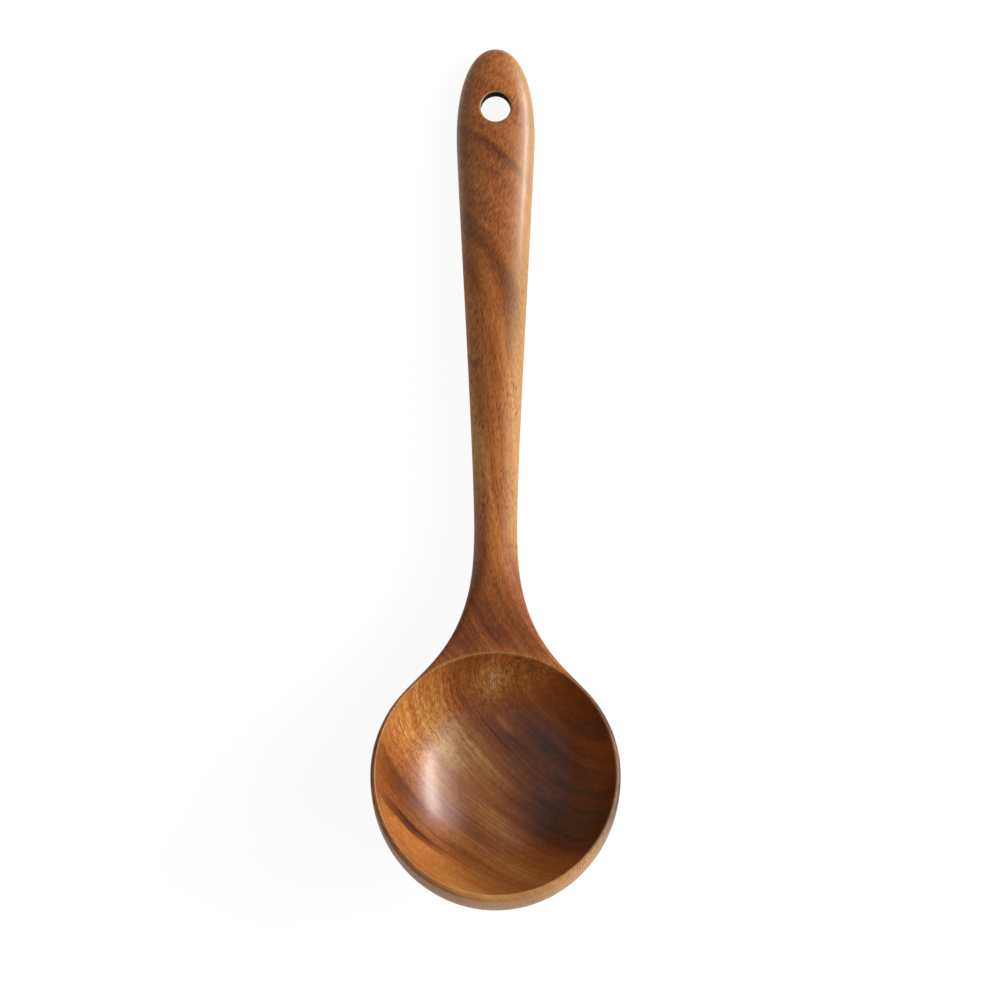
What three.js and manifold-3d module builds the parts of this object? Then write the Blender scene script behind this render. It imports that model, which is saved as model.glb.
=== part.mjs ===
// A carved wooden ladle: a deep round bowl with a flared neck, and a flat tapered handle glued into it.
import * as THREE from 'three';
import { mergeVertices } from 'three/addons/utils/BufferGeometryUtils.js';
import Module from 'manifold-3d';

// Driving dimensions, in millimetres and degrees.
// The ladle is drawn about the middle of its mouth: the rim lies at z = 0 and +Y runs to the handle.

// Bowl
const bowlWidth = 86;
const bowlFrontReach = 45.8;
const bowlRearReach = 44.4;
const bowlDepth = 44;
const widestDrop = 7; // the bowl is widest this far below its rim
const sideWall = 1.8;
const frontWall = 2.4;
const floorThickness = 6.5;
const footDepth = 1.2; // sanded off the underside, so that the ladle lies still
const lipSquareness = 12; // 2 is a half-round edge, a high value is a square one

// Neck: it leaves the bowl's outline at an angle, and narrows to the waist
const flareStart = 34;
const flareShoulder = 16.5;
const flareReach = 45.2;
const waistFromBowl = 90.6;
const waistWidth = 15.2;
const waistThickness = 14;
const heelStart = 57; // angle on the bowl's side view at which the neck's underside leaves it
const heelShoulder = 12;
const heelReach = 30;
const edgeSoftening = 55; // along the neck, the lip's square edge becomes the handle's round one

// Handle: it widens from the waist to the grip, and ends in a round tip
const gripFromWaist = 130.2;
const gripWidth = 27.7;
const gripThickness = 11.5;
const waistEase = 27;
const gripEase = 12;
const tipFromGrip = 29.6;
const tipShoulder = 17.2;
const tipBluntness = 8.6;
const tipThickness = 10;
const tipRounding = 20;
const handleSquareness = 2.2;
const undersideSquareness = 2;
const crownShare = 0.64; // share of the handle's thickness above its widest level
const holeFromTip = 20.8;
const holeDiameter = 10.5;

// Side view: the top stays level behind the mouth, bends up, and droops a little towards the tip
const landBehindMouth = 7;
const bendLength = 46;
const riseAngle = 21.5;
const tipDroop = 4.5;

// Joint: a round tenon on the handle, glued into a socket in the neck
const jointFromWaist = 7;
const tenonDiameter = 8;
const tenonLength = 20;
const tenonChamfer = 0.8;
const glueGap = 0.3;

// Facets
const stationSpacing = 4.5;
const ribSteps = 7;
const heelSteps = 60;
const mouthSegments = 56;
const mouthSteps = 14;
const roundSegments = 28;

// Worked out from the driving dimensions
const radians = THREE.MathUtils.degToRad;
const bowlHalfWidth = bowlWidth / 2;
const bowlBelowWidest = bowlDepth - widestDrop;
const mouthHalfWidth = bowlHalfWidth - sideWall;
const mouthHalfLength = bowlFrontReach - frontWall;
const mouthDepth = bowlDepth - floorThickness;
const flareY = bowlRearReach * Math.sin(radians(flareStart));
const waistY = waistFromBowl;
const gripY = waistY + gripFromWaist;
const tipY = gripY + tipFromGrip;
const tipRoundingY = tipY - tipRounding;
const holeY = tipY - holeFromTip;
const bendStart = mouthHalfLength + landBehindMouth;
const bendEnd = bendStart + bendLength;
const jointY = waistY - jointFromWaist;
const outerReach = 2 * (tipY + bowlFrontReach); // cutters of this size clear the whole ladle
const mergeDistance = 1e-4;

// Height of the top on the centre line.
function topHeight(y) {
  const rise = Math.tan(radians(riseAngle));
  const riseAtTip = Math.tan(radians(riseAngle - tipDroop));
  const inBend = THREE.MathUtils.clamp(y - bendStart, 0, bendLength);
  const pastBend = Math.max(y - bendEnd, 0);
  const droop = (rise - riseAtTip) / (2 * (tipY - bendEnd));
  return rise * (inBend ** 2 / (2 * bendLength) + pastBend) - droop * pastBend ** 2;
}

// Thickness of the handle from the waist to the tip, before the tip is rounded off.
function handleThickness(y) {
  const toGrip = THREE.MathUtils.clamp((y - waistY) / gripFromWaist, 0, 1);
  const toTip = THREE.MathUtils.clamp((y - gripY) / tipFromGrip, 0, 1);
  const atGrip = THREE.MathUtils.lerp(waistThickness, gripThickness, toGrip);
  return atGrip + (tipThickness - gripThickness) * toTip;
}

function handleUnderside(y) {
  return topHeight(y) - handleThickness(y);
}

// Slope of a height along Y, from two close points.
function slope(height, y) {
  const step = 0.01;
  return (height(y + step) - height(y - step)) / (2 * step);
}

// Underside of the bowl and neck on the centre line, from the deepest point to the waist, as (y, z).
function makeHeel() {
  const heelAngle = radians(heelStart);
  const leave = new THREE.Vector2(
    bowlRearReach * Math.sin(heelAngle),
    -widestDrop - bowlBelowWidest * Math.cos(heelAngle),
  );
  const leaveWay = new THREE.Vector2(
    bowlRearReach * Math.cos(heelAngle),
    bowlBelowWidest * Math.sin(heelAngle),
  ).normalize();
  const waist = new THREE.Vector2(waistY, handleUnderside(waistY));
  const waistWay = new THREE.Vector2(1, slope(handleUnderside, waistY)).normalize();
  const first = leave.clone().addScaledVector(leaveWay, heelShoulder);
  const second = waist.clone().addScaledVector(waistWay, -heelReach);
  const heel = new THREE.Path();
  const deepest = -Math.PI / 2;
  heel.absellipse(0, -widestDrop, bowlRearReach, bowlBelowWidest, deepest, deepest + heelAngle);
  heel.bezierCurveTo(first.x, first.y, second.x, second.y, waist.x, waist.y);
  return heel.getPoints(heelSteps);
}
const heel = makeHeel();

// Height of the underside on the centre line, from the bowl's middle to the tip.
function undersideHeight(y) {
  if (y >= waistY) return handleUnderside(y);
  const after = heel.findIndex((point, i) => i > 0 && point.x >= y);
  const [a, b] = [heel[after - 1], heel[after]];
  return THREE.MathUtils.mapLinear(y, a.x, b.x, a.y, b.y);
}

// Right half of the outline seen from above, from the front of the bowl to the tip of the handle.
function makeOutline() {
  const flareAngle = radians(flareStart);
  const leave = new THREE.Vector2(bowlHalfWidth * Math.cos(flareAngle), flareY);
  const leaveWay = new THREE.Vector2(
    -bowlHalfWidth * Math.sin(flareAngle),
    bowlRearReach * Math.cos(flareAngle),
  ).normalize();
  const shoulder = leave.clone().addScaledVector(leaveWay, flareShoulder);
  const waistX = waistWidth / 2;
  const gripX = gripWidth / 2;
  const path = new THREE.Path();
  path.absellipse(0, 0, bowlHalfWidth, bowlFrontReach, -Math.PI / 2, 0);
  path.absellipse(0, 0, bowlHalfWidth, bowlRearReach, 0, flareAngle);
  path.bezierCurveTo(shoulder.x, shoulder.y, waistX, waistY - flareReach, waistX, waistY);
  path.bezierCurveTo(waistX, waistY + waistEase, gripX, gripY - gripEase, gripX, gripY);
  path.bezierCurveTo(gripX, gripY + tipShoulder, tipBluntness, tipY, 0, tipY);
  const points = path.curves.flatMap((curve) => {
    const steps = Math.ceil(curve.getLength() / stationSpacing);
    return curve.getSpacedPoints(steps).slice(0, -1);
  });
  return [...points, new THREE.Vector2(0, tipY)];
}
const outline = makeOutline();

// Heights and edge shape of the ladle where a rib leaves the outline point.
// Ribs of the bowl's front half meet under its middle, and the others run square to the centre line.
function ribAt(point) {
  const keelY = Math.max(point.y, 0);
  const alongNeck = THREE.MathUtils.smoothstep(point.y, flareY, waistY);
  const softened = THREE.MathUtils.smoothstep(point.y, flareY, flareY + edgeSoftening);
  const handleEdgeZ = topHeight(keelY) - handleThickness(keelY) * crownShare;
  const edgeZ = THREE.MathUtils.lerp(-widestDrop, handleEdgeZ, alongNeck);
  const intoTip = THREE.MathUtils.clamp((point.y - tipRoundingY) / tipRounding, 0, 1);
  const closing = Math.sqrt(1 - intoTip ** 2);
  return {
    edge: new THREE.Vector3(point.x, point.y, edgeZ),
    keelY,
    crown: (topHeight(keelY) - edgeZ) * closing,
    belly: (edgeZ - undersideHeight(keelY)) * closing,
    squareness: THREE.MathUtils.lerp(lipSquareness, handleSquareness, softened),
  };
}

// One closed ring of points: over the top from left to right, then back along the underside.
function makeRing(point) {
  const { edge, keelY, crown, belly, squareness } = ribAt(point);
  const place = (side, across, z) => {
    const y = THREE.MathUtils.lerp(keelY, edge.y, across);
    return new THREE.Vector3(side * edge.x * across, y, edge.z + z);
  };
  const quarter = (side, rise, power) => Array.from({ length: ribSteps + 1 }, (unused, step) => {
    const turn = (step / ribSteps) * (Math.PI / 2);
    const across = step === ribSteps ? 0 : Math.cos(turn) ** (2 / power);
    return place(side, across, rise * Math.sin(turn) ** (2 / power));
  });
  const overTop = [...quarter(-1, crown, squareness), ...quarter(1, crown, squareness).reverse().slice(1)];
  const under = [
    ...quarter(1, -belly, undersideSquareness),
    ...quarter(-1, -belly, undersideSquareness).reverse().slice(1),
  ];
  return [...overTop, ...under.slice(1, -1)];
}

// A closed skin through rings of points that shrink to a line at one end and to a point at the other.
function skinThrough(rings) {
  const count = rings[0].length;
  const positions = rings.flat().flatMap((point) => point.toArray());
  const index = [];
  for (let i = 0; i + 1 < rings.length; i += 1) {
    for (let j = 0; j < count; j += 1) {
      const next = (j + 1) % count;
      const [a, b] = [i * count + j, i * count + next];
      const [c, d] = [a + count, b + count];
      index.push(a, b, d, a, d, c);
    }
  }
  const geometry = new THREE.BufferGeometry();
  geometry.setAttribute('position', new THREE.Float32BufferAttribute(positions, 3));
  geometry.setIndex(index);
  return geometry;
}

const wasm = await Module();
wasm.setup();

// A geometry as a solid: shared points are merged, and triangles that shrank to a line are dropped.
function toSolid(geometry) {
  const bare = geometry.clone();
  bare.deleteAttribute('normal');
  bare.deleteAttribute('uv');
  const merged = mergeVertices(bare, mergeDistance);
  const corners = merged.index.array;
  const kept = [];
  for (let i = 0; i < corners.length; i += 3) {
    const [a, b, c] = corners.slice(i, i + 3);
    if (a !== b && b !== c && c !== a) kept.push(a, b, c);
  }
  return new wasm.Manifold(new wasm.Mesh({
    numProp: 3,
    vertProperties: new Float32Array(merged.attributes.position.array),
    triVerts: new Uint32Array(kept),
  }));
}

function toGeometry(solid) {
  const mesh = solid.getMesh();
  const geometry = new THREE.BufferGeometry();
  geometry.setAttribute('position', new THREE.Float32BufferAttribute(mesh.vertProperties, 3));
  geometry.setIndex([...mesh.triVerts]);
  geometry.computeVertexNormals();
  return geometry;
}

// The hollow of the bowl: half an egg below the rim, and a straight wall above it.
function makeMouthCutter() {
  const profile = new THREE.Path();
  profile.absellipse(0, 0, mouthHalfWidth, mouthDepth, -Math.PI / 2, 0);
  const wall = [new THREE.Vector2(mouthHalfWidth, bowlDepth), new THREE.Vector2(0, bowlDepth)];
  const curve = profile.curves[0].getPoints(mouthSteps);
  curve[0].x = 0;
  const lathe = new THREE.LatheGeometry([...curve, ...wall], mouthSegments);
  lathe.rotateX(Math.PI / 2);
  lathe.scale(1, mouthHalfLength / mouthHalfWidth, 1);
  return toSolid(lathe);
}

// The hanging hole, square to the top of the handle.
function makeHoleCutter() {
  const radius = holeDiameter / 2;
  const bore = new THREE.CylinderGeometry(radius, radius, outerReach, roundSegments);
  bore.rotateX(Math.PI / 2 + Math.atan(slope(topHeight, holeY)));
  bore.translate(0, holeY, topHeight(holeY) - handleThickness(holeY) / 2);
  return toSolid(bore);
}

// How far the front of the ladle is tipped up as it lies on a table, on its foot and its tip.
function makeRest() {
  const bowlKeel = heel.filter((point) => point.x < bowlRearReach);
  const pastGrip = outline.filter((point) => point.y > gripY);
  const touching = pastGrip.filter((point) => Math.abs(point.y - holeY) > holeDiameter / 2);
  const tipKeel = touching.map((point) => {
    const { edge, belly } = ribAt(point);
    return new THREE.Vector2(edge.y, edge.z - belly);
  });
  const angleOf = (bowl, tip) => Math.atan2(tip.y - bowl.y - footDepth, tip.x - bowl.x);
  const steepest = (tip) => Math.max(...bowlKeel.map((bowl) => angleOf(bowl, tip)));
  const tilt = Math.min(...tipKeel.map(steepest));
  const height = (point) => point.y * Math.cos(tilt) - point.x * Math.sin(tilt);
  const lowest = bowlKeel.reduce((best, point) => (height(point) < height(best) ? point : best));
  return { tilt, foot: new THREE.Vector2(lowest.x, lowest.y + footDepth) };
}
const rest = makeRest();

// Everything below the table plane, in the ladle's own drawing frame.
function makeFootCutter() {
  const slab = new THREE.BoxGeometry(outerReach, outerReach, bowlDepth);
  slab.translate(0, 0, -bowlDepth / 2);
  slab.rotateX(rest.tilt);
  slab.translate(0, rest.foot.x, rest.foot.y);
  return toSolid(slab);
}

// Places a shape drawn along +Y at the joint, where +Y runs up the middle of the neck.
function placeAtJoint(geometry) {
  const middle = (y) => (topHeight(y) + undersideHeight(y)) / 2;
  geometry.rotateX(Math.atan(slope(middle, jointY)));
  geometry.translate(0, jointY, middle(jointY));
  return toSolid(geometry);
}

// Everything on the handle's side of the shoulder, which can be set back by the glue gap.
function makeHandleSide(setBack) {
  const block = new THREE.BoxGeometry(outerReach, outerReach, outerReach);
  block.translate(0, outerReach / 2 - setBack, 0);
  return placeAtJoint(block);
}

// A round peg with a chamfered end, which starts inside the handle's shoulder.
function makePeg(radius, length) {
  const profile = [
    new THREE.Vector2(0, -length),
    new THREE.Vector2(radius - tenonChamfer, -length),
    new THREE.Vector2(radius, -length + tenonChamfer),
    new THREE.Vector2(radius, radius),
    new THREE.Vector2(0, radius),
  ];
  return placeAtJoint(new THREE.LatheGeometry(profile, roundSegments));
}

const blank = toSolid(skinThrough(outline.map(makeRing)));
const carved = blank
  .subtract(makeMouthCutter())
  .subtract(makeHoleCutter())
  .subtract(makeFootCutter());
const tenon = makePeg(tenonDiameter / 2, tenonLength);
const socket = makePeg(tenonDiameter / 2 + glueGap, tenonLength + glueGap);
const handleSolid = carved.intersect(makeHandleSide(0)).add(tenon);
const bowlSolid = carved.subtract(makeHandleSide(glueGap)).subtract(socket);

function makePiece(name, solid, colour) {
  const wood = new THREE.MeshStandardMaterial({ color: colour, roughness: 0.42, metalness: 0 });
  const piece = new THREE.Mesh(toGeometry(solid), wood);
  piece.name = name;
  return piece;
}

// The ladle as it lies on a table: the origin is the middle of the foot.
const lying = new THREE.Group();
lying.add(makePiece('bowl', bowlSolid, '#7c4a27'));
lying.add(makePiece('handle', handleSolid, '#8a5428'));
lying.rotation.x = -rest.tilt;
const footPlace = new THREE.Vector3(0, rest.foot.x, rest.foot.y).applyEuler(lying.rotation);
lying.position.copy(footPlace).negate();

const ladle = new THREE.Group();
ladle.add(lying);

export default ladle;
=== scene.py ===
"""Dresses a carved wooden ladle: skins for its bowl and handle, oiled acacia, and a pale studio floor."""

from __future__ import annotations

import logging
import math
from collections.abc import Callable
from dataclasses import dataclass, field
from enum import Enum
from functools import cached_property

import bmesh
import bpy
import numpy as np
from bpy.types import Material, NodeSocket, NodeTree, Object, World
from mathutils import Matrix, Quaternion, Vector

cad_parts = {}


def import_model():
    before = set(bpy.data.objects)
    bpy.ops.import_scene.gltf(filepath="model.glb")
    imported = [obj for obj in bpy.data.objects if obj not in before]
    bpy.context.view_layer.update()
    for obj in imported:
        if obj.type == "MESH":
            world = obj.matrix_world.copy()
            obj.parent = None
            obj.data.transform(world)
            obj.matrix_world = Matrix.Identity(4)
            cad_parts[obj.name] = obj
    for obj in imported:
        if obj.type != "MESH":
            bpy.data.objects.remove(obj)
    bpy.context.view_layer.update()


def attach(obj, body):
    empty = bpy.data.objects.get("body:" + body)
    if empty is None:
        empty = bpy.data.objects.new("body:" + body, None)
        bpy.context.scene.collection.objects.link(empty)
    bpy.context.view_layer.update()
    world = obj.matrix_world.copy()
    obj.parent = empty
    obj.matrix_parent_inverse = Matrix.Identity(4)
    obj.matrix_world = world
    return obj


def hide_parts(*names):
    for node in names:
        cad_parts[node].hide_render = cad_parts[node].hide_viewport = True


LOG = logging.getLogger("ladle")
MM = 0.001
PHOTO_PIXELS = 1001
HALF_TURN = math.pi
TINY = 1e-9


def linear(colour: str) -> tuple[float, float, float, float]:
    """Turns an sRGB hex colour into the linear colour that shaders take.

    Args:
        colour: Colour as "#rrggbb".

    Returns:
        Red, green, blue and a full alpha.
    """
    channels = (int(colour[i:i + 2], 16) / 255 for i in (1, 3, 5))
    red, green, blue = (c / 12.92 if c <= 0.04045 else ((c + 0.055) / 1.055) ** 2.4 for c in channels)
    return red, green, blue, 1.0


def bezier(corners: list[tuple[float, float]], steps: int) -> np.ndarray:
    """Points of a cubic Bezier curve.

    Args:
        corners: The curve's four control points.
        steps: Number of steps along it.

    Returns:
        Array of steps + 1 points.
    """
    a, b, c, d = np.asarray(corners, float)
    t = np.linspace(0, 1, steps + 1)[:, None]
    s = 1 - t
    return s**3 * a + 3 * s**2 * t * b + 3 * s * t**2 * c + t**3 * d


def rounded(start: np.ndarray, corner: np.ndarray, end: np.ndarray, t: np.ndarray) -> np.ndarray:
    """Points of an eased corner, which leaves start and reaches end along the corner's two sides."""
    return (1 - t) ** 2 * start + 2 * t * (1 - t) * corner + t**2 * end


def spaced(points: np.ndarray, steps: int) -> np.ndarray:
    """Resamples a fine line at equal distances.

    Args:
        points: Points of the line, one per row.
        steps: Number of steps along it.

    Returns:
        Array of steps + 1 points.
    """
    lengths = np.linalg.norm(np.diff(points, axis=0), axis=1)
    reach = np.concatenate([[0], np.cumsum(lengths)])
    wanted = np.linspace(0, reach[-1], steps + 1)
    return np.stack([np.interp(wanted, reach, column) for column in points.T], axis=-1)


def smoothstep(value: np.ndarray | float, low: float, high: float) -> np.ndarray:
    """Eases from 0 at low to 1 at high."""
    t = np.clip((value - low) / (high - low), 0, 1)
    return t * t * (3 - 2 * t)


def slope(height: Callable[[float], np.ndarray], y: float, step: float = 0.01) -> float:
    """Slope along Y of a height."""
    return float(height(y + step) - height(y - step)) / (2 * step)


@dataclass(frozen=True)
class LadleForm:
    """Shape of the ladle, in millimetres and degrees.

    It is drawn about the middle of its mouth: the rim lies at z = 0 and +Y runs to the handle.
    """

    bowl_width: float = 86.0
    bowl_front_reach: float = 45.8
    bowl_rear_reach: float = 44.4
    bowl_depth: float = 44.0
    widest_drop: float = 7.0
    side_wall: float = 1.8
    front_wall: float = 2.4
    floor_thickness: float = 6.5
    foot_depth: float = 1.2
    lip_squareness: float = 12.0
    flare_start: float = 34.0
    flare_shoulder: float = 16.5
    flare_reach: float = 45.2
    waist_y: float = 90.6
    waist_width: float = 15.2
    waist_thickness: float = 14.0
    heel_start: float = 57.0
    heel_shoulder: float = 12.0
    heel_reach: float = 30.0
    edge_softening: float = 55.0
    grip_from_waist: float = 130.2
    grip_width: float = 27.7
    grip_thickness: float = 11.5
    waist_ease: float = 27.0
    grip_ease: float = 12.0
    tip_from_grip: float = 29.6
    tip_shoulder: float = 17.2
    tip_bluntness: float = 8.6
    tip_thickness: float = 10.0
    tip_rounding: float = 20.0
    handle_squareness: float = 2.2
    underside_squareness: float = 2.0
    crown_share: float = 0.64
    hole_from_tip: float = 20.8
    hole_diameter: float = 10.5
    land_behind_mouth: float = 7.0
    bend_length: float = 46.0
    rise_angle: float = 21.5
    tip_droop: float = 4.5
    joint_from_waist: float = 7.0
    tenon_diameter: float = 8.0
    tenon_length: float = 20.0
    tenon_chamfer: float = 0.8
    glue_gap: float = 0.3
    # Painted light on the sides of the neck and handle: where it starts and is full along Y, and its share
    # on the shaded left side.
    side_light_y: tuple[float, float] = (66.0, 94.0)
    side_light_left: float = 0.3
    fine_steps: int = 400
    lean_fade: float = 20.0
    lean_rounds: int = 8

    @property
    def half_bowl(self) -> float:
        """Half the bowl's width."""
        return self.bowl_width / 2

    @property
    def below_widest(self) -> float:
        """Depth of the bowl below its widest level."""
        return self.bowl_depth - self.widest_drop

    @property
    def mouth(self) -> tuple[float, float, float]:
        """Half width, half length and depth of the hollow."""
        half_length = self.bowl_front_reach - self.front_wall
        return self.half_bowl - self.side_wall, half_length, self.bowl_depth - self.floor_thickness

    @property
    def flare_y(self) -> float:
        """Where the neck leaves the bowl's outline."""
        return self.bowl_rear_reach * math.sin(math.radians(self.flare_start))

    @property
    def grip_y(self) -> float:
        """Where the handle is widest."""
        return self.waist_y + self.grip_from_waist

    @property
    def tip_y(self) -> float:
        """Far end of the handle."""
        return self.grip_y + self.tip_from_grip

    @property
    def hole_y(self) -> float:
        """Middle of the hanging hole."""
        return self.tip_y - self.hole_from_tip

    @property
    def joint_y(self) -> float:
        """Where the handle's shoulder meets the neck."""
        return self.waist_y - self.joint_from_waist

    @cached_property
    def joint_lean(self) -> float:
        """How far the joint leans back along Y for each unit of height, to be square to the neck."""
        return slope(self.middle, self.joint_y)

    def top(self, y: np.ndarray | float) -> np.ndarray:
        """Height of the top on the centre line.

        Args:
            y: Places along the ladle.

        Returns:
            The height at each place.
        """
        rise = math.tan(math.radians(self.rise_angle))
        rise_at_tip = math.tan(math.radians(self.rise_angle - self.tip_droop))
        bend_start = self.mouth[1] + self.land_behind_mouth
        bend_end = bend_start + self.bend_length
        in_bend = np.clip(y - bend_start, 0, self.bend_length)
        past = np.maximum(y - bend_end, 0)
        droop = (rise - rise_at_tip) / (2 * (self.tip_y - bend_end))
        return rise * (in_bend**2 / (2 * self.bend_length) + past) - droop * past**2

    def thickness(self, y: np.ndarray | float) -> np.ndarray:
        """Thickness of the handle, before its tip is rounded off."""
        places = [self.waist_y, self.grip_y, self.tip_y]
        return np.interp(y, places, [self.waist_thickness, self.grip_thickness, self.tip_thickness])

    def handle_underside(self, y: np.ndarray | float) -> np.ndarray:
        """Height of the handle's underside on the centre line."""
        return self.top(y) - self.thickness(y)

    @cached_property
    def heel(self) -> np.ndarray:
        """Underside of the bowl and neck on the centre line.

        Returns:
            Points (y, z) from the deepest one to the waist.
        """
        angle = math.radians(self.heel_start)
        turn = np.linspace(0, angle, self.fine_steps)
        round_part = np.stack([
            self.bowl_rear_reach * np.sin(turn),
            -self.widest_drop - self.below_widest * np.cos(turn),
        ], axis=-1)
        way = np.array([self.bowl_rear_reach * math.cos(angle), self.below_widest * math.sin(angle)])
        waist = np.array([self.waist_y, float(self.handle_underside(self.waist_y))])
        waist_way = np.array([1.0, slope(self.handle_underside, self.waist_y)])
        first = round_part[-1] + way / np.linalg.norm(way) * self.heel_shoulder
        second = waist - waist_way / np.linalg.norm(waist_way) * self.heel_reach
        neck_part = bezier([round_part[-1], first, second, waist], self.fine_steps)
        return np.concatenate([round_part, neck_part[1:]])

    def underside(self, y: np.ndarray | float) -> np.ndarray:
        """Height of the underside on the centre line, from the bowl's middle to the tip."""
        on_neck = np.interp(y, self.heel[:, 0], self.heel[:, 1])
        return np.where(np.asarray(y) >= self.waist_y, self.handle_underside(y), on_neck)

    def middle(self, y: np.ndarray | float) -> np.ndarray:
        """Height half way between the top and the underside."""
        return (self.top(y) + self.underside(y)) / 2

    @cached_property
    def outline(self) -> dict[str, np.ndarray]:
        """Right half of the outline seen from above.

        Returns:
            Points (x, y) of each stretch, from the front to the tip.
        """
        flare = math.radians(self.flare_start)
        turn = np.linspace(-HALF_TURN / 2, 0, self.fine_steps)
        front = np.stack([self.half_bowl * np.cos(turn), self.bowl_front_reach * np.sin(turn)], axis=-1)
        turn = np.linspace(0, flare, self.fine_steps)
        rear = np.stack([self.half_bowl * np.cos(turn), self.bowl_rear_reach * np.sin(turn)], axis=-1)
        way = np.array([-self.half_bowl * math.sin(flare), self.bowl_rear_reach * math.cos(flare)])
        shoulder = rear[-1] + way / np.linalg.norm(way) * self.flare_shoulder
        waist, grip = self.waist_width / 2, self.grip_width / 2
        curves = {
            "flare": [rear[-1], shoulder, (waist, self.waist_y - self.flare_reach), (waist, self.waist_y)],
            "handle": [
                (waist, self.waist_y), (waist, self.waist_y + self.waist_ease),
                (grip, self.grip_y - self.grip_ease), (grip, self.grip_y),
            ],
            "tip": [
                (grip, self.grip_y), (grip, self.grip_y + self.tip_shoulder),
                (self.tip_bluntness, self.tip_y), (0, self.tip_y),
            ],
        }
        curved = {name: bezier(corners, self.fine_steps) for name, corners in curves.items()}
        return {"front": front, "rear": rear, **curved}

    def half_width(self, y: np.ndarray) -> np.ndarray:
        """Half the width seen from above, behind the bowl's middle."""
        line = np.concatenate([self.outline[name] for name in ("rear", "flare", "handle", "tip")])
        return np.interp(y, line[:, 1], line[:, 0])

    def rib(self, y: np.ndarray) -> tuple[np.ndarray, np.ndarray, np.ndarray, np.ndarray]:
        """Heights and edge shape of the section square to Y.

        Args:
            y: Places along the ladle.

        Returns:
            Height of the widest level, rise of the top over it, depth of the underside below it, and
            squareness of the edge.
        """
        keel = np.maximum(y, 0)
        along_neck = smoothstep(y, self.flare_y, self.waist_y)
        on_handle = self.top(keel) - self.thickness(keel) * self.crown_share
        edge = -self.widest_drop + (on_handle + self.widest_drop) * along_neck
        into_tip = np.clip((y - self.tip_y + self.tip_rounding) / self.tip_rounding, 0, 1)
        closing = np.sqrt(1 - into_tip**2)
        crown = (self.top(keel) - edge) * closing
        belly = (edge - self.underside(keel)) * closing
        softened = smoothstep(y, self.flare_y, self.flare_y + self.edge_softening)
        squareness = self.lip_squareness + (self.handle_squareness - self.lip_squareness) * softened
        return edge, crown, belly, squareness

    def ring(self, y: float, turns: np.ndarray) -> np.ndarray:
        """A section behind the bowl's middle, which leans as the joint does near it.

        Args:
            y: Place of the section on the middle line.
            turns: Angles round the section: 0 is its right edge, a quarter turn its top.

        Returns:
            One point for each angle.
        """
        lean = self.joint_lean * (1 - smoothstep(abs(y - self.joint_y), 0, self.lean_fade))
        across, rise = np.cos(turns), np.sin(turns)
        over = rise >= 0
        along = np.full_like(turns, y)
        for _ in range(self.lean_rounds):
            edge, crown, belly, squareness = self.rib(along)
            power = 2 / np.where(over, squareness, self.underside_squareness)
            height = edge + np.where(over, crown, -belly) * np.abs(rise) ** power
            along = y - lean * (height - self.middle(y))
        side = np.sign(across) * np.abs(across) ** power * self.half_width(along)
        return np.stack([side, along, height], axis=-1)

    def top_at(self, x: np.ndarray, y: np.ndarray) -> np.ndarray:
        """Height of the top at places inside the outline.

        Args:
            x: Places across the ladle.
            y: Places along it.

        Returns:
            The height at each place.
        """
        edge, crown, _, squareness = self.rib(y)
        in_front = np.hypot(x / self.half_bowl, y / self.bowl_front_reach)
        behind = np.abs(x) / np.maximum(self.half_width(y), TINY)
        share = np.where(y < 0, in_front, behind)
        return edge + crown * np.maximum(1 - share**squareness, 0) ** (1 / squareness)

    def underside_at(self, x: np.ndarray, y: np.ndarray) -> np.ndarray:
        """Height of the underside at places of the handle."""
        edge, _, belly, _ = self.rib(y)
        return edge - belly * np.sqrt(np.maximum(1 - (x / self.half_width(y)) ** 2, 0))

    def painted_side_light(self, points: np.ndarray) -> np.ndarray:
        """Painted light on the sides of the neck and handle, paler towards the edges and most on the lit
        right side.

        Args:
            points: Points of the surface.

        Returns:
            From 0 for none to 1 for most, for each point.
        """
        x, y = points[..., 0], points[..., 1]
        share = np.clip(np.abs(x) / np.maximum(self.half_width(y), TINY), 0, 1)
        amount = (1 - (1 - share**self.handle_squareness) ** 2) * smoothstep(y, *self.side_light_y)
        return amount * np.where(x > 0, 1.0, self.side_light_left)

    @cached_property
    def rest(self) -> tuple[float, float, float]:
        """How the ladle lies on a table.

        Returns:
            Its tilt in radians, and the place (y, z) of its foot.
        """
        bowl = self.heel[self.heel[:, 0] < self.bowl_rear_reach]
        tip_y = self.outline["tip"][1:, 1]
        tip_y = tip_y[np.abs(tip_y - self.hole_y) > self.hole_diameter / 2]
        edge, _, belly, _ = self.rib(tip_y)
        rise = (edge - belly)[None, :] - bowl[:, 1:] - self.foot_depth
        tilt = float(np.arctan2(rise, tip_y[None, :] - bowl[:, :1]).max(axis=0).min())
        lowest = np.argmin(bowl[:, 1] * math.cos(tilt) - bowl[:, 0] * math.sin(tilt))
        return tilt, float(bowl[lowest, 0]), float(bowl[lowest, 1]) + self.foot_depth

    def to_table(self, points: np.ndarray) -> np.ndarray:
        """Lays the drawing on a table, with the foot at the origin of the part's frame.

        Args:
            points: Points of the drawing.

        Returns:
            The same points in the part's frame.
        """
        tilt, foot_y, foot_z = self.rest
        y, z = points[..., 1] - foot_y, points[..., 2] - foot_z
        turned_y = y * math.cos(tilt) + z * math.sin(tilt)
        turned_z = z * math.cos(tilt) - y * math.sin(tilt)
        return np.stack([points[..., 0], turned_y, turned_z], axis=-1)

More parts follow.
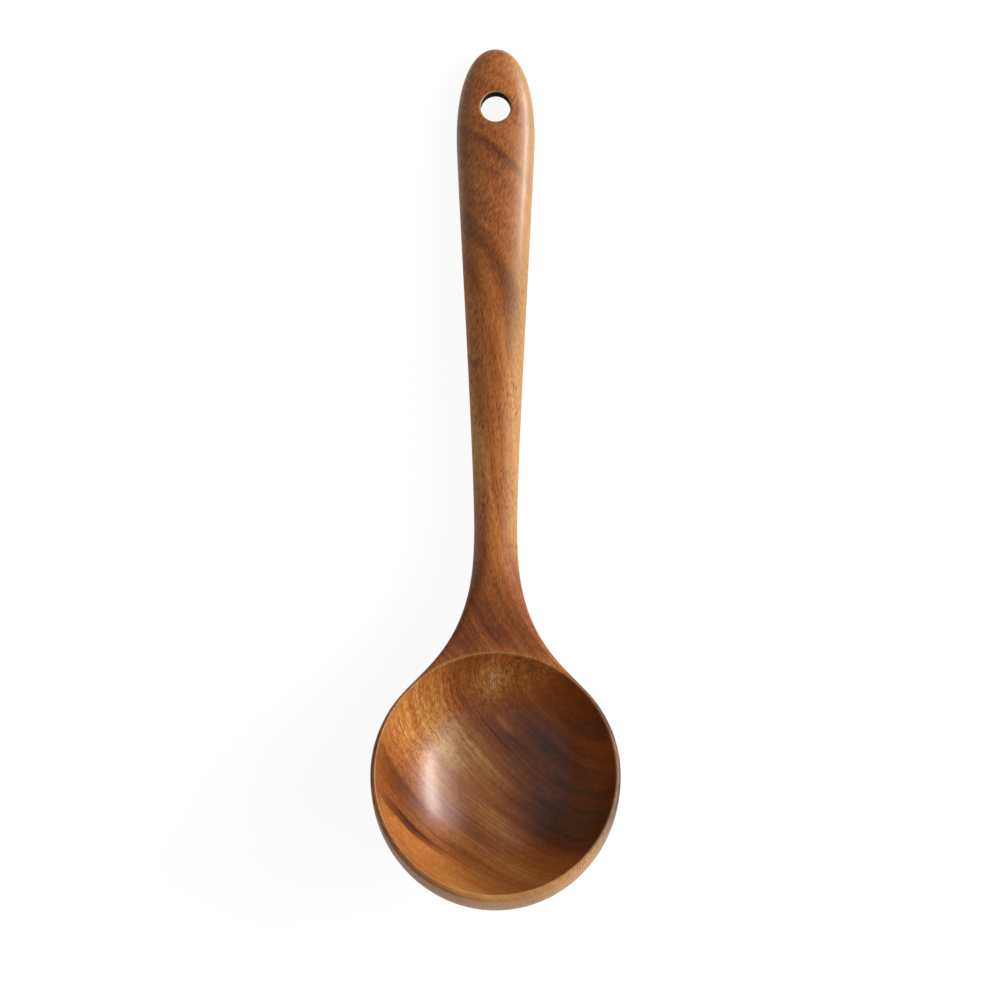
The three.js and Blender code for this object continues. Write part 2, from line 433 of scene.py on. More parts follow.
    def peg(self, gap: float, turns: np.ndarray) -> np.ndarray:
        """Rows of the round chamfered tenon, or of its socket, from the shoulder into the neck.

        Args:
            gap: How much larger than the tenon it is all round.
            turns: Angles round it.

        Returns:
            Array of rows of points.
        """
        lean = math.atan(self.joint_lean)
        centre = np.array([0.0, self.joint_y, float(self.middle(self.joint_y))])
        axis = np.array([0.0, math.cos(lean), math.sin(lean)])
        up = np.array([0.0, -math.sin(lean), math.cos(lean)])
        circle = np.cos(turns)[:, None] * np.array([1.0, 0.0, 0.0]) + np.sin(turns)[:, None] * up
        radius, length, chamfer = self.tenon_diameter / 2 + gap, self.tenon_length + gap, self.tenon_chamfer
        rows = ((0, radius), (length - chamfer, radius), (length, radius - chamfer), (length, 0))
        return np.stack([centre - axis * depth + circle * reach for depth, reach in rows])


class Mark(Enum):
    """What the tools left on the wood, and where light is painted onto it: each is a mesh attribute from 0
    to 1.
    """

    # Pale painted light and painted highlight on the lip, the front of the outside, the sides of the neck
    # and handle, and the hole's eased edge.
    WORN = "worn_edge"
    BARE = "bare_bore"
    SCOOPED = "scooped_hollow"


@dataclass
class Skin:
    """Collects grids of points as one closed mesh."""

    points: list[np.ndarray] = field(default_factory=list)
    faces: list[np.ndarray] = field(default_factory=list)
    marks: dict[Mark, list[np.ndarray]] = field(default_factory=lambda: {mark: [] for mark in Mark})
    count: int = 0
    weld_m: float = 1e-6
    sharp_angle: float = 50.0

    def add_grid(
        self,
        rows: np.ndarray,
        skip: np.ndarray | None = None,
        marks: dict[Mark, np.ndarray] | None = None,
    ) -> None:
        """Adds a grid of four-sided faces.

        Args:
            rows: Points as an array of rows, columns and coordinates.
            skip: Says which faces to leave out, if any.
            marks: Strength of each mark at the points, where it is not 0.
        """
        high, wide = rows.shape[:2]
        number = self.count + np.arange(high * wide).reshape(high, wide)
        faces = np.stack([number[:-1, :-1], number[:-1, 1:], number[1:, 1:], number[1:, :-1]], axis=-1)
        self.points.append(rows.reshape(-1, 3))
        self.faces.append(faces.reshape(-1, 4) if skip is None else faces[~skip])
        for mark, strengths in self.marks.items():
            strength = (marks or {}).get(mark, np.zeros(1))
            strengths.append(np.broadcast_to(strength, (high, wide)).ravel())
        self.count += high * wide

    def make(self, name: str, form: LadleForm, foot_ease: float) -> Object:
        """Makes the mesh object, with shared points merged.

        Args:
            name: Name of the piece.
            form: Shape that lays the drawing on the table.
            foot_ease: Roundness, in millimetres, where the underside is flattened by the table.

        Returns:
            The new object.
        """
        placed = form.to_table(np.concatenate(self.points))
        placed[:, 2] = (placed[:, 2] + np.sqrt(placed[:, 2] ** 2 + foot_ease**2)) / 2
        mesh = bpy.data.meshes.new(name)
        mesh.from_pydata((placed * MM).tolist(), [], np.concatenate(self.faces).tolist())
        for mark, strengths in self.marks.items():
            attribute = mesh.attributes.new(mark.value, "FLOAT", "POINT")
            attribute.data.foreach_set("value", np.concatenate(strengths).astype(np.float32))
        work = bmesh.new()
        work.from_mesh(mesh)
        bmesh.ops.remove_doubles(work, verts=work.verts, dist=self.weld_m)
        bmesh.ops.recalc_face_normals(work, faces=work.faces)
        work.to_mesh(mesh)
        work.free()
        mesh.shade_smooth()
        mesh.set_sharp_from_angle(angle=math.radians(self.sharp_angle))
        piece = bpy.data.objects.new(name, mesh)
        bpy.context.scene.collection.objects.link(piece)
        return piece


@dataclass
class Bowl:
    """The deep bowl and its flared neck, up to the glued joint."""

    form: LadleForm
    lip_ease: float = 0.7
    # Painted highlight along the lip's eased edge, widest at the front.
    lip_highlight: float = 1.2
    front_lip_highlight: float = 2.4
    lip_highlight_y: tuple[float, float] = (-10.0, 20.0)
    lip_highlight_most: float = 0.65
    # Painted light on the front of the outside, most on the right.
    front_light: float = 0.9
    front_light_left: float = 0.5
    front_light_reach: tuple[float, float] = (5.0, 30.0)
    front_light_height: tuple[float, float] = (-22.0, -8.0)
    foot_ease: float = 0.3
    front_steps: int = 56
    rear_steps: int = 20
    flare_steps: int = 60
    ring_steps: int = 112
    top_steps: int = 36
    lip_steps: int = 6
    hollow_steps: int = 48
    edge_crowding: int = 4

    def underside(self) -> np.ndarray:
        """Grid of the outside below the outline.

        Returns:
            One row of points for each place along the outline, from the front to the joint.
        """
        form = self.form
        turns = -np.linspace(0, HALF_TURN, self.ring_steps // 2 + 1)
        across, drop = np.cos(turns), np.abs(np.sin(turns))
        front = spaced(form.outline["front"], self.front_steps)[:-1]
        in_front = [
            np.stack([x * across, y * np.abs(across), -form.widest_drop - form.below_widest * drop], axis=-1)
            for x, y in front
        ]
        flare = form.outline["flare"]
        flare = flare[flare[:, 1] < form.joint_y]
        end = np.array([[form.half_width(form.joint_y), form.joint_y]])
        behind = np.concatenate([
            spaced(form.outline["rear"], self.rear_steps)[:-1],
            spaced(np.concatenate([flare, end]), self.flare_steps),
        ])[:, 1]
        return np.stack(in_front + [form.ring(y, turns) for y in behind])

    def painted_front_light(self, points: np.ndarray) -> np.ndarray:
        """Painted light on the front of the outside, most on the right and under the lip.

        Args:
            points: Points of the surface.

        Returns:
            From 0 for none to 1 for most, for each point.
        """
        x, y, z = np.moveaxis(points, -1, 0)
        rightward = smoothstep(x, -self.form.half_bowl, self.form.half_bowl)
        share = self.front_light_left + (1 - self.front_light_left) * rightward
        upward = smoothstep(z, *self.front_light_height)
        return self.front_light * share * upward * smoothstep(-y, *self.front_light_reach)

    def top_rib(self, start: np.ndarray) -> tuple[np.ndarray, np.ndarray, np.ndarray]:
        """One line from the outline or the joint over the lip and down to the bottom of the hollow.

        Args:
            start: Point that the line starts from.

        Returns:
            Points of the line, how much painted light each one has, and which ones are in the hollow.
        """
        form = self.form
        half_width, half_length, depth = form.mouth
        at_edge = 1 / math.hypot(start[0] / half_width, start[1] / half_length)
        left = 1 - (1 - at_edge) * np.linspace(0, 1, form.fine_steps) ** self.edge_crowding
        x, y = start[0] * left, start[1] * left
        over = np.stack([x, y, form.top_at(x, y)], axis=-1)
        over[0] = start
        corner = over[-1].copy()
        kept = over[np.linalg.norm(over - corner, axis=1) > self.lip_ease]
        foot = corner[2] - self.lip_ease
        inner = math.sqrt(1 - (foot / depth) ** 2)
        below = np.array([corner[0] * inner, corner[1] * inner, foot])
        eased = rounded(kept[-1], corner, below, np.linspace(0, 1, self.lip_steps + 1)[1:, None])
        down = np.linspace(math.asin(-foot / depth), HALF_TURN / 2, self.hollow_steps + 1)[1:]
        hollow = np.stack([
            corner[0] * np.cos(down),
            corner[1] * np.cos(down),
            -depth * np.sin(down),
        ], axis=-1)
        points = np.concatenate([spaced(kept, self.top_steps), eased, hollow])
        into_hollow = np.linspace(0, 1, self.lip_steps)
        scooped = np.concatenate([np.zeros(self.top_steps + 1), into_hollow, np.ones(len(hollow))])
        # Painted highlight along the lip's edge, and painted light on the sides and the front of the
        # outside.
        reach = np.interp(start[1], self.lip_highlight_y, (self.front_lip_highlight, self.lip_highlight))
        to_corner = np.linalg.norm(points - corner, axis=1)
        lit_paint = self.lip_highlight_most * (1 - smoothstep(to_corner, 0, reach))
        outside = np.maximum(form.painted_side_light(points), self.painted_front_light(points) * (1 - scooped))
        return points, np.maximum(lit_paint, outside), scooped

    def build(self, name: str) -> Object:
        """Builds the bowl as one closed mesh.

        Args:
            name: Name of the piece.

        Returns:
            The new object.
        """
        form = self.form
        turns = np.linspace(0, 2 * HALF_TURN, self.ring_steps + 1)
        joint = form.ring(form.joint_y, turns)
        below = self.underside()
        over_joint = joint[1:self.ring_steps // 2]
        starts = np.concatenate([below[:, 0], over_joint, below[::-1, -1]])
        ribs, lit_paint, scooped = map(np.stack, zip(*(self.top_rib(start) for start in starts)))
        skin = Skin()
        # The outside below the outline takes the painted light on the sides and the front.
        skin.add_grid(below, marks={Mark.WORN: np.maximum(form.painted_side_light(below), self.painted_front_light(below))})
        skin.add_grid(ribs, marks={Mark.WORN: lit_paint, Mark.SCOOPED: scooped})
        skin.add_grid(np.concatenate([joint[None], form.peg(form.glue_gap, turns)]))
        return skin.make(name, form, self.foot_ease)

    def dress(self, piece: Object, wood: Material) -> None:
        """Gives the bowl its wood and ties it to the frame.

        Args:
            piece: The bowl.
            wood: Its material.
        """
        piece.data.materials.append(wood)
        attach(piece, "root")
        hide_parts("bowl")


@dataclass
class Handle:
    """The flat tapered handle with its hanging hole, and the tenon that goes into the neck."""

    form: LadleForm
    hole_ease: float = 0.8
    handle_steps: int = 90
    tip_steps: int = 44
    ring_steps: int = 112
    patch_reach: float = 8.4
    patch_half_steps: int = 11
    patch_rows: int = 6
    ease_steps: int = 5
    bore_steps: int = 8
    bore_from: float = 0.5

    def rings(self, turns: np.ndarray) -> np.ndarray:
        """Grid of the handle's outside.

        Args:
            turns: Angles round it.

        Returns:
            One closed row of points for each place from the joint to the tip.
        """
        form = self.form
        neck = form.outline["flare"]
        neck = neck[neck[:, 1] > form.joint_y]
        start = np.array([[form.half_width(form.joint_y), form.joint_y]])
        shaft = np.concatenate([start, neck, form.outline["handle"][1:]])
        places = np.concatenate([
            spaced(shaft, self.handle_steps)[:-1],
            spaced(form.outline["tip"], self.tip_steps),
        ])[:, 1]
        return np.stack([form.ring(y, turns) for y in places])

    def hole(self, over: np.ndarray, under: np.ndarray) -> tuple[np.ndarray, np.ndarray]:
        """Rows from the skin round the hanging hole, over its eased edge and through to the underside.

        Args:
            over: Closed loop of skin points round the hole on the top.
            under: The same loop on the underside.

        Returns:
            Array of rows of points, and how bare of finish each row is.
        """
        form = self.form
        tilt = math.atan(slope(form.top, form.hole_y))
        axis = np.array([0.0, -math.sin(tilt), math.cos(tilt)])
        half_thick = form.thickness(form.hole_y) / 2
        heart = np.array([0.0, form.hole_y, form.top(form.hole_y) - half_thick])
        radius = form.hole_diameter / 2
        half_through = axis * half_thick * math.cos(tilt)
        middles = [heart + half_through, heart - half_through]
        turn = np.arctan2((over[:, 1] - middles[0][1]) / math.cos(tilt), over[:, 0])

        def around(middle: np.ndarray, reach: float) -> np.ndarray:
            """Places of a ring round the hole's axis, seen from above."""
            along = middle[1] + reach * np.sin(turn) * math.cos(tilt)
            return np.stack([reach * np.cos(turn), along], axis=-1)

        halves = []
        for loop, middle, height, inward in (
            (over, middles[0], form.top_at, -1.0),
            (under, middles[1], form.underside_at, 1.0),
        ):
            wide = around(middle, radius + self.hole_ease)
            steps = np.linspace(0, 1, self.patch_rows + 1)[:, None, None]
            flat = loop[None, :, :2] * (1 - steps) + wide[None] * steps
            skin = np.concatenate([flat, height(flat[..., 0], flat[..., 1])[..., None]], axis=-1)
            skin[0] = loop
            tight = around(middle, radius)
            corner = np.concatenate([tight, height(tight[:, 0], tight[:, 1])[:, None]], axis=-1)
            inside = corner + axis * inward * self.hole_ease
            steps = np.linspace(0, 1, self.ease_steps + 1)[1:, None, None]
            halves.append(np.concatenate([skin, rounded(skin[-1], corner, inside, steps)]))
        steps = np.linspace(0, 1, self.bore_steps + 1)[1:-1, None, None]
        bore = halves[0][-1] * (1 - steps) + halves[1][-1] * steps
        into_bore = np.concatenate([np.zeros(self.patch_rows + 1), np.linspace(0, 1, self.ease_steps)])
        bare = np.concatenate([into_bore, np.ones(len(bore)), into_bore[::-1]])
        return np.concatenate([halves[0], bore, halves[1][::-1]]), bare

    def build(self, name: str) -> Object:
        """Builds the handle as one closed mesh.

        Args:
            name: Name of the piece.

        Returns:
            The new object.
        """
        form = self.form
        turns = np.linspace(0, 2 * HALF_TURN, self.ring_steps + 1)
        rings = self.rings(turns)
        quarter = self.ring_steps // 4
        near = np.flatnonzero(np.abs(rings[:, quarter, 1] - form.hole_y) < self.patch_reach)
        first, last = near[0], near[-1]
        left, right = quarter - self.patch_half_steps, quarter + self.patch_half_steps
        skip = np.zeros((rings.shape[0] - 1, self.ring_steps), bool)
        skip[first:last, left:right] = True
        skip[first:last, self.ring_steps - right:self.ring_steps - left] = True
        loop = (
            [(first, j) for j in range(left, right)]
            + [(i, right) for i in range(first, last)]
            + [(last, j) for j in range(right, left, -1)]
            + [(i, left) for i in range(last, first - 1, -1)]
        )
        over = np.array([rings[i, j] for i, j in loop])
        under = np.array([rings[i, self.ring_steps - j] for i, j in loop])
        hole, bare = self.hole(over, under)
        # The hole's eased edge gets a painted highlight.
        lit_paint = np.where((bare > 0) & (bare < 1), 1.0, 0.0)
        skin = Skin()
        skin.add_grid(rings, skip, {Mark.WORN: form.painted_side_light(rings)})
        skin.add_grid(hole, marks={Mark.BARE: bare[:, None], Mark.WORN: lit_paint[:, None]})
        skin.add_grid(np.concatenate([rings[:1], form.peg(0.0, turns)]))
        return skin.make(name, form, 0.0)

    def dress(self, piece: Object, wood: Material, bore: Material) -> None:
        """Gives the handle its wood, with bare wood in the hole, and ties it to the frame.

        Args:
            piece: The handle.
            wood: Material of its outside.
            bore: Material of the hole's wall.
        """
        mesh = piece.data
        mesh.materials.append(wood)
        mesh.materials.append(bore)
        bare = np.zeros(len(mesh.vertices), np.float32)
        mesh.attributes[Mark.BARE.value].data.foreach_get("value", bare)
        for face in mesh.polygons:
            face.material_index = int(bare[list(face.vertices)].min() > self.bore_from)
        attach(piece, "root")
        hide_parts("handle")


def empty_tree(owner: Material | World) -> NodeTree:
    """Turns on the shader nodes of a material or a world and clears them.

    Args:
        owner: The material or world.

    Returns:
        Its empty node tree.
    """
    owner.use_nodes = True
    owner.node_tree.nodes.clear()
    return owner.node_tree


def add(
    tree: NodeTree,
    kind: str,
    links: dict[int | str, object] | None = None,
    out: int | str = 0,
    stops: tuple[tuple[float, str], ...] = (),
    **settings: object,
) -> NodeSocket | None:
    """Adds a shader node with its settings and links.

    Args:
        tree: Node tree to add it to.
        kind: Node type, without the ShaderNode prefix.
        links: A value or another node's output for each input.
        out: Output to hand back.
        stops: Places and hex colours of a colour ramp.
        settings: Properties of the node.

    Returns:
        The output that was asked for, if the node has any.
    """
    node = tree.nodes.new(f"ShaderNode{kind}")
    for key, value in settings.items():
        setattr(node, key, value)
    for key, value in (links or {}).items():
        if isinstance(value, NodeSocket):
            tree.links.new(value, node.inputs[key])
        else:
            node.inputs[key].default_value = value
    if stops:
        ramp = node.color_ramp.elements
        while len(ramp) < len(stops):
            ramp.new(1.0)
        for element, (place, colour) in zip(ramp, stops):
            element.position = place
            element.color = linear(colour)
    return node.outputs[out] if len(node.outputs) else None


@dataclass(frozen=True)
class Streak:
    """A long soft patch of the figure: its middle and half size across and along, and change of tone."""

    across_mm: float
    along_mm: float
    half_width_mm: float
    half_length_mm: float
    shift: float


@dataclass(frozen=True)
class Grain:
    """A layer of uneven tone: its size across and along, how much finer detail it has, and its strength."""

    across_mm: float
    along_mm: float
    detail: float
    strength: float


@dataclass(frozen=True)
class Spot:
    """Node outputs that the wood is drawn from: place in the ladle and in the figure, and the hollow."""

    tree: NodeTree
    place: NodeSocket
    figure: NodeSocket
    scooped: NodeSocket


# Oiled wood shows its bands deep and warm, with a soft highlight where the oil is thick.
@dataclass(frozen=True)
class OiledAcacia:
    """Acacia, carved, sanded and oiled: golden to red-brown bands, short dark pores, a satin gloss."""

    tones: tuple[tuple[float, str], ...] = (
        (0.0, "#33160a"),
        (0.2, "#612d0f"),
        (0.4, "#884819"),
        (0.55, "#a05d27"),
        (0.7, "#b97538"),
        (0.85, "#d09750"),
        (1.0, "#e6bf80"),
    )
    mean_tone: float = 0.5
    pore_colour: str = "#4e2711"
    # Pale colour of the painted light and painted highlight on the edges and sides, and how much of it is
    # mixed in.
    painted_light_colour: str = "#a48151"
    painted_light_share: float = 0.65
    streaks: tuple[Streak, ...] = (
        # Handle, from the tip to the waist.
        Streak(32.0, 212.0, 75.0, 80.0, -0.08),
        Streak(35.0, 216.0, 5.0, 60.0, -0.24),
        Streak(20.0, 206.0, 6.0, 30.0, -0.06),
        Streak(0.8, 182.0, 5.0, 56.0, -0.22),
        Streak(0.0, 160.0, 9.0, 20.0, -0.18),
        Streak(-13.0, 156.0, 8.0, 32.0, 0.12),
        Streak(-8.0, 142.0, 3.0, 16.0, -0.12),
        Streak(-3.0, 108.0, 6.0, 48.0, 0.14),
        Streak(-20.0, 98.0, 6.0, 46.0, 0.18),
        Streak(-12.0, 86.0, 5.0, 28.0, -0.08),
        Streak(-10.0, 64.0, 7.0, 18.0, -0.16),
        Streak(-16.5, 118.0, 5.0, 56.0, 0.16),
        # Neck.
        Streak(-32.0, 46.0, 46.0, 32.0, -0.23),
        Streak(-29.0, 50.0, 5.0, 24.0, -0.08),
        Streak(-44.0, 48.0, 7.0, 16.0, -0.1),
        Streak(-34.0, 42.0, 4.0, 14.0, 0.08),
        Streak(-39.0, 49.0, 5.0, 13.0, -0.1),
        Streak(-20.0, 34.0, 9.0, 18.0, -0.1),
        # Bowl, from the neck over the floor to the front.
        Streak(-34.0, 28.0, 12.0, 14.0, 0.4),
        Streak(-24.0, 20.0, 11.0, 14.0, 0.18),
        Streak(-40.0, 9.0, 3.0, 10.0, 0.3),
        Streak(-60.0, 38.0, 6.0, 16.0, 0.1),
        Streak(-80.0, 40.0, 26.0, 22.0, 0.06),
        Streak(-68.0, 12.0, 22.0, 42.0, 0.16),
        Streak(-59.0, 4.0, 6.0, 40.0, 0.1),
        Streak(-61.5, 7.0, 1.5, 34.0, 0.1),
        Streak(-57.5, 1.0, 1.2, 30.0, 0.08),
        Streak(-71.0, 16.0, 6.0, 18.0, 0.12),
        Streak(-44.0, 1.0, 5.0, 30.0, -0.18),
        Streak(-46.5, 8.0, 1.4, 22.0, -0.26),
        Streak(-42.0, -4.0, 1.2, 24.0, -0.22),
        Streak(-34.0, -18.0, 5.0, 34.0, -0.2),
        Streak(-43.0, -33.0, 4.0, 18.0, -0.2),
        Streak(-56.0, -41.0, 6.0, 16.0, -0.12),
        Streak(-67.0, -54.0, 2.0, 30.0, -0.2),
        Streak(-73.0, -20.0, 2.0, 18.0, -0.14),
        Streak(-22.0, -22.0, 36.0, 64.0, -0.4),
        # Darker wood and painted shade on the right inner wall, which faces away from the lamps.
        Streak(-56.0, -58.0, 38.0, 50.0, -0.58),
        Streak(-118.0, 16.0, 4.5, 32.0, -0.48),
        Streak(-117.0, 12.0, 1.3, 26.0, -0.2),
        Streak(-120.5, 18.0, 1.2, 22.0, -0.18),
        Streak(-105.0, 26.0, 13.0, 34.0, -0.38),
        Streak(-111.0, -5.0, 1.6, 28.0, -0.14),
        Streak(-117.0, -12.0, 1.4, 28.0, -0.12),
        Streak(-92.0, -12.0, 12.0, 26.0, -0.1),
        Streak(-110.0, -16.0, 9.0, 24.0, -0.1),
        Streak(-78.0, -26.0, 20.0, 30.0, 0.2),
        Streak(-99.0, -43.0, 16.0, 28.0, 0.08),
        # Painted light on the front of the outside.
        Streak(-140.0, -47.0, 16.0, 60.0, 0.3),
    )
    # Growth rings, fibre lines and flecks. Real fibres are too fine to show and are drawn coarser.
    bands: tuple[Grain, ...] = (
        Grain(9.0, 130.0, 2.0, 0.36),
        Grain(2.6, 95.0, 2.0, 0.4),
        Grain(0.9, 42.0, 1.5, 0.27),
        Grain(0.45, 4.0, 2.0, 0.22),
    )
    mottle: Grain = Grain(1.6, 2.0, 2.0, 0.22)
    # Short leaning flecks near the tip, drawn about twice as wide as real ones to show.
    hatch: Grain = Grain(0.48, 2.2, 1.0, 0.65)
    hatch_lean: float = 25.0
    hatch_y_mm: tuple[float, float] = (150.0, 185.0)
    hatched_lines: float = 0.35
    # Real pores are 0.1 to 0.3 mm wide, too fine to show, so they are drawn coarser.
    pores: tuple[Grain, ...] = (
        Grain(0.7, 3.2, 0.0, 0.7),
        Grain(0.5, 1.8, 0.0, 0.55),
    )
    pore_depth_share: float = 1.25
    pore_edge: tuple[float, float] = (0.2, 0.4)
    pore_patch: Grain = Grain(14.0, 14.0, 1.0, 0.5)
    pore_patch_edge: tuple[float, float] = (-0.15, 0.1)
    pore_bump: float = 0.25
    pore_bump_mm: float = 0.15
    hatched_pores: float = 0.1
    scooped_pores: float = 0.3
    clean_front_y_mm: tuple[float, float] = (-46.0, -30.0)
    # Cut vessels are as fine as the pores, so they are drawn coarser too.
    vessels: Grain = Grain(1.3, 4.6, 2.0, 0.65)
    vessel_line: float = 0.08
    vessels_from_mm: tuple[float, float] = (-5.0, 28.0)
    # Painted light: the hollow is made paler where its own walls keep light from its floor.
    hollow_painted_light: float = 0.12
    straight_y_mm: tuple[float, float] = (80.0, 153.0)
    lean_at_straight: float = 0.1
    lean_gain_to_tip: float = 0.019
    lean_gain_to_bowl: float = 0.011
    depth_lean: float = 0.5
    warp: Grain = Grain(30.0, 30.0, 2.0, 6.4)
    dry_roughness: float = 0.6
    oiled_roughness: float = 0.36
    specular: float = 0.25
    hollow_oil: float = 0.78
    bowl_oil: float = 0.14
    bowl_oil_y_mm: tuple[float, float] = (15.0, 55.0)
    tip_oil: float = 0.5
    tip_oil_y_mm: tuple[float, float] = (160.0, 205.0)
    oil_roughness: float = 0.26

    def wave(self, tree: NodeTree, where: NodeSocket, grain: Grain) -> NodeSocket:
        """Smooth noise about 0.

        Args:
            tree: Node tree of the wood.
            where: Place that it is drawn in.
            grain: The layer that gives its size.

        Returns:
            The noise, from -0.5 to 0.5.
        """
        scale = (1 / grain.across_mm, 1 / grain.along_mm, 1 / grain.along_mm)
        noise = add(tree, "Mapping", {"Vector": where, "Scale": scale})
        noise = add(tree, "TexNoise", {"Vector": noise, "Scale": 1.0, "Detail": grain.detail})
        return add(tree, "Math", {0: noise, 1: 0.5}, operation="SUBTRACT")

    def uneven(self, tree: NodeTree, where: NodeSocket, grain: Grain) -> NodeSocket:
        """Change made by one layer of grain, about 0."""
        noise = self.wave(tree, where, grain)
        return add(tree, "Math", {0: noise, 1: grain.strength}, operation="MULTIPLY")

    def figure(self, tree: NodeTree, place: NodeSocket) -> NodeSocket:
        """Place in the wood's own figure, whose bands lean over towards the tip and towards the bowl.

        Args:
            tree: Node tree of the wood.
            place: Place in the ladle, in millimetres.

        Returns:
            Distance across the bands, distance along them, and height, in millimetres.
        """
        axes = add(tree, "SeparateXYZ", {0: place}).node.outputs
        low, high = self.straight_y_mm
        lean: NodeSocket | float = self.lean_at_straight
        past = add(tree, "Math", {0: axes["Y"], 1: high}, operation="SUBTRACT")
        across = add(tree, "Math", {0: past, 1: lean, 2: axes["X"]}, operation="MULTIPLY_ADD")
        for end, limit, gain in (
            (high, "MAXIMUM", self.lean_gain_to_tip),
            (low, "MINIMUM", -self.lean_gain_to_bowl),
        ):
            side = add(tree, "Math", {0: axes["Y"], 1: end}, operation="SUBTRACT")
            side = add(tree, "Math", {0: side, 1: 0.0}, operation=limit)
            lean = add(tree, "Math", {0: side, 1: gain, 2: lean}, operation="MULTIPLY_ADD")
            side = add(tree, "Math", {0: side, 1: side}, operation="MULTIPLY")
            across = add(tree, "Math", {0: side, 1: gain / 2, 2: across}, operation="MULTIPLY_ADD")
        lowered = {0: axes["Z"], 1: -self.depth_lean, 2: across}
        across = add(tree, "Math", lowered, operation="MULTIPLY_ADD")
        warp = self.uneven(tree, place, self.warp)
        across = add(tree, "Math", {0: warp, 1: across}, operation="ADD")
        aside = add(tree, "Math", {0: lean, 1: axes["X"]}, operation="MULTIPLY")
        along = add(tree, "Math", {0: axes["Y"], 1: aside}, operation="SUBTRACT")
        return add(tree, "CombineXYZ", {0: across, 1: along, 2: axes["Z"]})

    def upwards(
        self,
        spot: Spot,
        between_y_mm: tuple[float, float],
        below: NodeSocket | float,
        above: NodeSocket | float,
    ) -> NodeSocket:
        """A number that changes smoothly along the ladle, from the bowl towards the tip.

        Args:
            spot: What the wood is drawn from.
            between_y_mm: Where the change starts and ends.
            below: The number before the change.
            above: The number after it.

        Returns:
            The number at the place.
        """
        start, end = between_y_mm
        along = add(spot.tree, "SeparateXYZ", {0: spot.place}, out="Y")
        change = {"Value": along, "From Min": start, "From Max": end, "To Min": below, "To Max": above}
        return add(spot.tree, "MapRange", change, interpolation_type="SMOOTHSTEP")

    def tone(self, spot: Spot) -> NodeSocket:
        """Tone of the wood, from 0 for the darkest band to 1 for the palest.

        Args:
            spot: What the wood is drawn from.

        Returns:
            The tone.
        """
        tree, place, figure = spot.tree, spot.place, spot.figure
        layers = [self.uneven(tree, place, self.mottle), self.uneven(tree, figure, self.bands[0])]
        share = self.upwards(spot, self.hatch_y_mm, 1.0, self.hatched_lines)
        for grain in self.bands[1:]:
            line = self.uneven(tree, figure, grain)
            layers.append(add(tree, "Math", {0: line, 1: share}, operation="MULTIPLY"))
        lean = (0.0, 0.0, math.radians(self.hatch_lean))
        hatch = self.uneven(tree, add(tree, "Mapping", {"Vector": place, "Rotation": lean}), self.hatch)
        share = self.upwards(spot, self.hatch_y_mm, 0.0, 1.0)
        layers.append(add(tree, "Math", {0: hatch, 1: share}, operation="MULTIPLY"))
        for streak in self.streaks:
            middle = (streak.across_mm, streak.along_mm, 0.0)
            size = (1 / streak.half_width_mm, 1 / streak.half_length_mm, 0.0)
            off = add(tree, "VectorMath", {0: figure, 1: middle}, operation="SUBTRACT")
            off = add(tree, "VectorMath", {0: off, 1: size}, operation="MULTIPLY")
            off = add(tree, "VectorMath", {0: off}, out="Value", operation="LENGTH")
            fade = {"Value": off, "To Min": streak.shift, "To Max": 0.0}
            layers.append(add(tree, "MapRange", fade, interpolation_type="SMOOTHSTEP"))
        # Painted light in the hollow.
        layers.append(add(tree, "Math", {0: spot.scooped, 1: self.hollow_painted_light}, operation="MULTIPLY"))
        tone: NodeSocket | float = self.mean_tone
        for layer in layers:
            tone = add(tree, "Math", {0: tone, 1: layer}, operation="ADD")
        return tone

    def vessel(self, spot: Spot) -> NodeSocket:
        """Long vessels that the scooping cut open: dark wavering lines on the rear wall of the hollow.

        Args:
            spot: What the wood is drawn from.

        Returns:
            Up to 1 on a vessel, and 0 on plain wood.
        """
        tree, grain = spot.tree, self.vessels
        line = add(tree, "Math", {0: self.wave(tree, spot.figure, grain)}, operation="ABSOLUTE")
        fade = {"Value": line, "From Max": self.vessel_line, "To Min": grain.strength, "To Max": 0.0}
        line = add(tree, "MapRange", fade)
        along = add(tree, "SeparateXYZ", {0: spot.figure}, out="Y")
        low, high = self.vessels_from_mm
        rear = add(tree, "MapRange", {"Value": along, "From Min": low, "From Max": high})
        shown = add(tree, "Math", {0: rear, 1: spot.scooped}, operation="MULTIPLY")
        return add(tree, "Math", {0: line, 1: shown}, operation="MULTIPLY")

